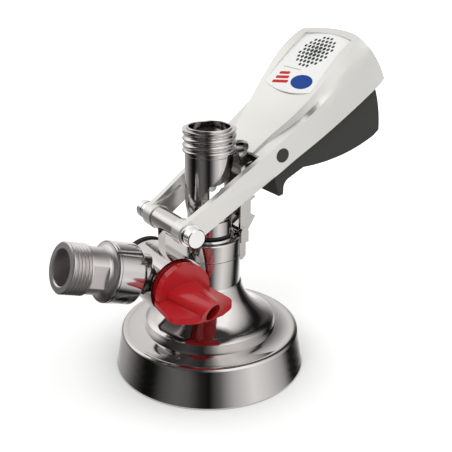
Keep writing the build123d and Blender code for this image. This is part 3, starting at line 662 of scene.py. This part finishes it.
@dataclass
class Lever:
    """Forked lever, its label and the trigger.

    Attributes:
        hinge_x: Hinge position along X in millimetres.
        hinge_z: Hinge height.
        tilt: Angle of the arm above the horizontal in degrees.
        label_t: Thickness of the label plate.
        recess: Three points (station, height) on the arc of the recess's floor.
    """

    hinge_x: float = -19.7
    hinge_z: float = 70.6
    tilt: float = 32.0
    label_t: float = 0.5
    recess: tuple[tuple[float, float], ...] = ((60, 5.3), (90.9, 13.3), (120, 14.6))

    @property
    def axis(self) -> Matrix:
        """Frame of the lever: X along the arm, Z square to it and up.

        Returns:
            The frame, in metres.
        """
        return Matrix.Translation((self.hinge_x * MM, 0, self.hinge_z * MM)) @ Matrix.Rotation(
            -radians(self.tilt), 4, "Y")

    def crown(self, u: float) -> float:
        """Height of the recess's floor, on the circle through its three points.

        Args:
            u: Station along the lever.

        Returns:
            The height in the lever's frame.
        """
        (x1, y1), (x2, y2), (x3, y3) = self.recess
        a = x1 * (y2 - y3) - y1 * (x2 - x3) + x2 * y3 - x3 * y2
        s1, s2, s3 = x1 * x1 + y1 * y1, x2 * x2 + y2 * y2, x3 * x3 + y3 * y3
        cx = (s1 * (y2 - y3) + s2 * (y3 - y1) + s3 * (y1 - y2)) / (2 * a)
        cy = (s1 * (x3 - x2) + s2 * (x1 - x3) + s3 * (x2 - x1)) / (2 * a)
        radius = hypot(x1 - cx, y1 - cy)
        return cy + sqrt(radius**2 - (u - cx) ** 2)

    def build(self) -> None:
        """Builds the lever's pieces."""
        dress_copy("lever", "lever_casting", SATIN, Body.LEVER, 0.35, 24)
        dress_copy("label_plate", "label_sheet", LABEL, Body.LEVER)
        dress_copy("pivot_plugs", "pivot_plug_pair", BLACK, Body.LEVER, 0.15)
        dress_copy("trigger", "trigger_paddle", BLACK, Body.TRIGGER, 0.4)
        LabelPrint().build()


LEVER = Lever()


@dataclass
class InnerParts:
    """Small inner pieces that keep their CAD mesh.

    Attributes:
        finishes: The finish of each node.
    """

    finishes: dict[str, Finish] = field(default_factory=lambda: {
        "keg_seal": RUBBER, "probe_rings": RUBBER, "stem_rings": RUBBER, "probe_seal": RUBBER,
        "gas_check_valve": RUBBER, "housing_gasket": RUBBER, "valve_stem": POLISHED,
        "stem_clip": SPRING, "probe_retainer": POLISHED, "beer_check_ball": BALL,
        "ball_stop_pin": SPRING, "trigger_pin": PIN, "trigger_spring": SPRING})

    def build(self) -> None:
        """Gives each node its finish."""
        for node, finish in self.finishes.items():
            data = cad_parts[node].data
            data.materials.clear()
            data.materials.append(finish.build())


# ---------------------------------------------------------------------------- studio
@dataclass
class Studio:
    """Floor, reflector dome, soft lights and the camera.

    The dome and its flat foot are seen by glossy rays only.  Their tone runs in
    upright strips by the angle from the camera's side, with one row of stops near
    the floor and one for the upper part.

    Attributes:
        eye: Place of the camera in millimetres.
        lens: Focal length for a 36 mm sensor.
        heading: Turn of the camera about the vertical in degrees.
        down: How far it looks down in degrees.
        roll: Its roll in degrees.
        foot: Height of the dome's foot above the floor in metres.
        dome: Profile of the dome from its foot ring to the top, in metres.
        low: (angle in degrees, tone) stops up to `low_rise`.
        high: The stops from `high_rise` up.
        low_rise: Elevation in degrees up to which the low stops hold.
        high_rise: Elevation from which the high stops hold.
        top_rise: Elevation where the top starts to darken.
        top_span: Degrees over which it darkens.
        top_tone: Tone of the top.
        warmth: Red, green and blue of the tone.
        skirt_wall: Radius in metres of the wall that sees the nearest floor.
        wall_loss: How much smaller the wall is that sees the floor further off.
        wall_from: Distance in metres where the wall starts to shrink.
        wall_span: Distance over which it shrinks.
    """

    eye: tuple[float, float, float] = (-170.5, -257.7, 189.9)
    lens: float = 60.96
    heading: float = -34.82
    down: float = 22.0
    roll: float = 0.40
    foot: float = 0.0004

    dome: tuple[tuple[float, float], ...] = (
        (0.0432, 0.0), (0.047, 0.0), (0.052, 0.0), (0.06, 0.0), (0.072, 0.0), (0.09, 0.0),
        (0.12, 0.0), (0.16, 0.0), (0.24, 0.0), (0.5, 0.0), (1.6, 0.0), (1.6, 0.2),
        (1.58, 0.35), (1.54, 0.5), (1.45, 0.75), (1.25, 1.05), (1.08, 1.25),
        (0.9, 1.35), (0.7, 1.45), (0.45, 1.52))
    low: tuple[tuple[float, float], ...] = (
        (-180, 1.10), (-154, 0.55), (-126, 0.41), (-112, 0.22), (-98, 0.065), (-86, 0.008),
        (-70, 0.008), (-56, 0.10), (-40, 0.165), (-26, 0.14), (-12, 0.03), (0, 0.007),
        (12, 0.16), (28, 0.65), (52, 1.12), (70, 0.93), (98, 0.48), (112, 0.02),
        (128, 0.013), (142, 0.12), (156, 0.6), (170, 1.10), (180, 1.10))
    high: tuple[tuple[float, float], ...] = (
        (-180, 0.95), (-143, 1.05), (-120, 1.50), (-105, 1.30), (-94, 0.58), (-82, 0.07),
        (-60, 0.07), (-40, 0.12), (-12, 0.04), (2, 0.30), (20, 1.45), (52, 1.50), (84, 1.0),
        (102, 0.55), (116, 0.09), (124, 0.012), (134, 0.012), (150, 0.14), (166, 0.50),
        (180, 0.95))
    low_rise: float = 8.0
    high_rise: float = 20.0
    top_rise: float = 66.0
    top_span: float = 7.0
    top_tone: float = 0.05
    warmth: tuple[float, float, float] = (1.0, 0.985, 0.98)
    skirt_wall: float = 0.042
    wall_loss: float = 0.024
    wall_from: float = 0.09
    wall_span: float = 0.06

    @staticmethod
    def stop(stops: tuple[tuple[float, float], ...], angle: float) -> float:
        """Tone of one row of stops at an angle.

        Args:
            stops: The row.
            angle: The angle in degrees.

        Returns:
            The tone between the two stops around the angle.
        """
        for (a0, t0), (a1, t1) in zip(stops, stops[1:]):
            if a0 <= angle <= a1:
                return t0 + (t1 - t0) * (angle - a0) / (a1 - a0)
        return stops[0][1]

    def mirrored(self, angle: float, reach: float) -> float:
        """Direction of the mirror ray that brings a floor point to the camera.

        A ray off an upright wall leaves at twice the wall's angle, but meets the
        floor close to the skirt, so the point's own angle is smaller.

        Args:
            angle: Angle of the floor point from the camera's side in degrees.
            reach: Its distance from the main axis in metres.

        Returns:
            The direction of the ray in degrees.
        """
        shrink = min(1.0, max(0.0, (reach - self.wall_from) / self.wall_span))
        wall = self.skirt_wall - self.wall_loss * shrink
        least, most = 0.0, pi
        for _ in range(HALVINGS):
            turn = (least + most) / 2
            run = sqrt(reach**2 - (wall * sin(turn)) ** 2) - wall * cos(turn)
            at = atan2(wall * sin(turn) + run * sin(2 * turn),
                       wall * cos(turn) + run * cos(2 * turn)) % (2 * pi)
            if at < radians(abs(angle)):
                least = turn
            else:
                most = turn
        return min(180.0, 2 * least * 180 / pi) * (1 if angle > 0 else -1)

    def tone(self, angle: float, rise: float) -> float:
        """Tone of the dome.

        Args:
            angle: Angle from the camera's side in degrees.
            rise: Elevation in degrees.

        Returns:
            The strength it glows with.
        """
        angle = (angle + 180.0) % 360.0 - 180.0
        span = self.high_rise - self.low_rise
        share = min(1.0, max(0.0, (rise - self.low_rise) / span))
        level = self.stop(self.low, angle) * (1 - share) + self.stop(self.high, angle) * share
        top = min(1.0, max(0.0, (rise - self.top_rise) / self.top_span))
        return level * (1 - top) + self.top_tone * top

    @staticmethod
    def seen_rays(nodes: bpy.types.Nodes, links: bpy.types.NodeLinks) -> bpy.types.NodeSocket:
        """Picks out the rays that show a surface: camera, glossy and transmission.

        Args:
            nodes: Nodes of the tree.
            links: Links of the tree.

        Returns:
            A socket that is 1 for those rays and 0 for the others.
        """
        path = nodes.new("ShaderNodeLightPath")
        value = path.outputs["Is Camera Ray"]
        for kind in ("Is Glossy Ray", "Is Transmission Ray"):
            either = nodes.new("ShaderNodeMath")
            either.operation = "MAXIMUM"
            links.new(value, either.inputs[0])
            links.new(path.outputs[kind], either.inputs[1])
            value = either.outputs[0]
        return value

    def floor_shader(self) -> bpy.types.Material:
        """A surface that is seen as white, with the object's shadow on it.

        It glows less near the object and reflects the lights a little, so their shadow shows.
        In tight corners by the object its glow is darkened by ambient occlusion: a painted
        contact shadow.  Other rays meet a plain pale floor.

        Returns:
            The material.
        """
        material = bpy.data.materials.new("floor_white")
        material.use_nodes = True
        nodes, links = material.node_tree.nodes, material.node_tree.links
        nodes.clear()
        out = nodes.new("ShaderNodeOutputMaterial")
        white = nodes.new("ShaderNodeEmission")
        coords = nodes.new("ShaderNodeTexCoord")
        away = nodes.new("ShaderNodeVectorMath")
        away.operation = "LENGTH"
        links.new(coords.outputs["Object"], away.inputs[0])
        fade = nodes.new("ShaderNodeMapRange")
        fade.inputs["From Min"].default_value, fade.inputs["From Max"].default_value = 0.06, 0.34
        fade.inputs["To Min"].default_value, fade.inputs["To Max"].default_value = 0.60, 1.0
        links.new(away.outputs["Value"], fade.inputs["Value"])
        # painted contact shadow: ambient occlusion dims the floor's glow in tight corners by the
        # object
        painted_contact_shadow = nodes.new("ShaderNodeAmbientOcclusion")
        painted_contact_shadow.inputs["Distance"].default_value = 0.022
        glow = nodes.new("ShaderNodeMath")
        glow.operation = "MULTIPLY"
        links.new(fade.outputs["Result"], glow.inputs[0])
        links.new(painted_contact_shadow.outputs["AO"], glow.inputs[1])
        links.new(glow.outputs[0], white.inputs["Strength"])
        diffuse = nodes.new("ShaderNodeBsdfDiffuse")
        diffuse.inputs["Color"].default_value = (0.42, 0.42, 0.42, 1.0)
        add = nodes.new("ShaderNodeAddShader")
        links.new(white.outputs[0], add.inputs[0])
        links.new(diffuse.outputs[0], add.inputs[1])
        plain = nodes.new("ShaderNodeBsdfDiffuse")
        plain.inputs["Color"].default_value = (0.8, 0.8, 0.8, 1.0)
        mix = nodes.new("ShaderNodeMixShader")
        links.new(self.seen_rays(nodes, links), mix.inputs[0])
        links.new(plain.outputs[0], mix.inputs[1])
        links.new(add.outputs[0], mix.inputs[2])
        links.new(mix.outputs[0], out.inputs["Surface"])
        return material

    def floor(self) -> None:
        """Lays the round floor."""
        mesh = bmesh.new()
        bmesh.ops.create_circle(mesh, cap_ends=True, segments=96, radius=4.0)
        data = bpy.data.meshes.new("floor")
        mesh.to_mesh(data)
        mesh.free()
        data.materials.append(self.floor_shader())
        floor = bpy.data.objects.new("floor", data)
        floor.location.z = -0.0002
        bpy.context.scene.collection.objects.link(floor)
        floor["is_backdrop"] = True

    def reflector(self) -> None:
        """Spins the toned dome that only glossy rays see."""
        side = atan2(self.eye[1], self.eye[0])
        mesh = bmesh.new()
        ring = [mesh.verts.new((r, 0.0, z + self.foot)) for r, z in self.dome]
        edges = [mesh.edges.new(pair) for pair in zip(ring, ring[1:])]
        bmesh.ops.spin(mesh, geom=ring + edges, cent=(0, 0, 0), axis=(0, 0, 1), dvec=(0, 0, 0),
                       angle=2 * pi, steps=180, use_merge=True, use_normal_flip=False,
                       use_duplicate=False)
        rim = [v for v in mesh.verts if v.co.z > 1.5]
        bmesh.ops.contextual_create(mesh, geom=rim)
        layer = mesh.verts.layers.float_color.new("tone")
        for vert in mesh.verts:
            reach = hypot(vert.co.x, vert.co.y)
            rise = atan2(vert.co.z, reach) * 180 / pi
            angle = ((atan2(vert.co.y, vert.co.x) - side) * 180 / pi + 180) % 360 - 180
            if vert.co.z < 0.001 and reach < 1.0:
                angle = self.mirrored(angle, reach)
            level = self.tone(angle, rise)
            vert[layer] = (*(level * share for share in self.warmth), 1.0)
        data = bpy.data.meshes.new("reflector_dome")
        mesh.to_mesh(data)
        mesh.free()
        material = bpy.data.materials.new("reflector_tone")
        material.use_nodes = True
        nodes, links = material.node_tree.nodes, material.node_tree.links
        nodes.clear()
        tone_in = nodes.new("ShaderNodeAttribute")
        tone_in.attribute_name = "tone"
        glow = nodes.new("ShaderNodeEmission")
        out = nodes.new("ShaderNodeOutputMaterial")
        links.new(tone_in.outputs["Color"], glow.inputs["Color"])
        links.new(glow.outputs[0], out.inputs["Surface"])
        data.materials.append(material)
        dome = bpy.data.objects.new("reflector_dome", data)
        bpy.context.scene.collection.objects.link(dome)
        dome.visible_camera = False
        dome.visible_diffuse = False
        dome.visible_shadow = False
        dome.visible_transmission = False
        dome.visible_volume_scatter = False
        dome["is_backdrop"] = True

    def world(self) -> None:
        """Sets an even world that is white behind the object."""
        world = bpy.data.worlds.new("studio")
        bpy.context.scene.world = world
        world.use_nodes = True
        nodes, links = world.node_tree.nodes, world.node_tree.links
        nodes.clear()
        out = nodes.new("ShaderNodeOutputWorld")
        white, soft = nodes.new("ShaderNodeBackground"), nodes.new("ShaderNodeBackground")
        white.inputs["Strength"].default_value = 1.0
        white.inputs["Color"].default_value = (1.0, 1.0, 1.0, 1.0)
        soft.inputs["Color"].default_value = (1.0, 0.995, 0.985, 1.0)
        soft.inputs["Strength"].default_value = 0.62
        mix = nodes.new("ShaderNodeMixShader")
        links.new(self.seen_rays(nodes, links), mix.inputs[0])
        links.new(soft.outputs[0], mix.inputs[1])
        links.new(white.outputs[0], mix.inputs[2])
        links.new(mix.outputs[0], out.inputs["Surface"])

    def light(self, name: str, where: Vector, size: float, power: float) -> None:
        """Hangs one soft square light aimed at the object.

        Args:
            name: Its name.
            where: Its place in metres.
            size: Its side in metres.
            power: Its power in watts.
        """
        lamp = bpy.data.lights.new(name, "AREA")
        lamp.size = size
        lamp.energy = power
        holder = bpy.data.objects.new(name, lamp)
        holder.location = where
        holder.rotation_euler = (Vector((0, 0, 0.05)) - where).to_track_quat("-Z", "Y").to_euler()
        holder.visible_glossy = False
        bpy.context.scene.collection.objects.link(holder)

    def camera(self) -> None:
        """Sets the camera at the photograph's viewing angle."""
        lens = bpy.data.cameras.new("camera")
        lens.lens, lens.sensor_width = self.lens, 36.0
        lens.clip_start, lens.clip_end = 0.01, 20.0
        camera = bpy.data.objects.new("camera", lens)
        heading, down, roll = radians(self.heading), radians(self.down), radians(self.roll)
        right = Vector((cos(heading), sin(heading), 0))
        look = Vector((-sin(heading) * cos(down), cos(heading) * cos(down), -sin(down)))
        up = right.cross(look)
        side = right * cos(roll) + up * sin(roll)
        top = side.cross(look)
        turn = Matrix((side, top, -look)).transposed().to_4x4()
        camera.matrix_world = Matrix.Translation(Vector(self.eye) * MM) @ turn
        bpy.context.scene.collection.objects.link(camera)
        bpy.context.scene.camera = camera

    def build(self) -> None:
        """Sets up the whole studio."""
        self.floor()
        self.reflector()
        self.world()
        self.light("key_light", Vector((-0.75, -0.55, 1.05)), 0.8, 9.0)
        self.light("fill_light", Vector((0.9, -0.5, 0.8)), 0.9, 5.0)
        self.camera()
        view = bpy.context.scene.view_settings
        view.view_transform = "Standard"


def corners() -> list[list[float]]:
    """Lowest and highest corner of the shown object as plain lists.

    Returns:
        The two corners, in metres.
    """
    return [list(corner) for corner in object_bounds()]


def main() -> None:
    """Builds every sub-assembly in order."""
    logging.basicConfig(level=logging.INFO, format="%(name)s %(message)s")
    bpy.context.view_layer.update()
    for assembly in (Housing(), GasSide(), Probe(), LEVER, InnerParts(), Studio()):
        log.info("building %s", type(assembly).__name__)
        assembly.build()


if __name__ == "__main__":
    main()
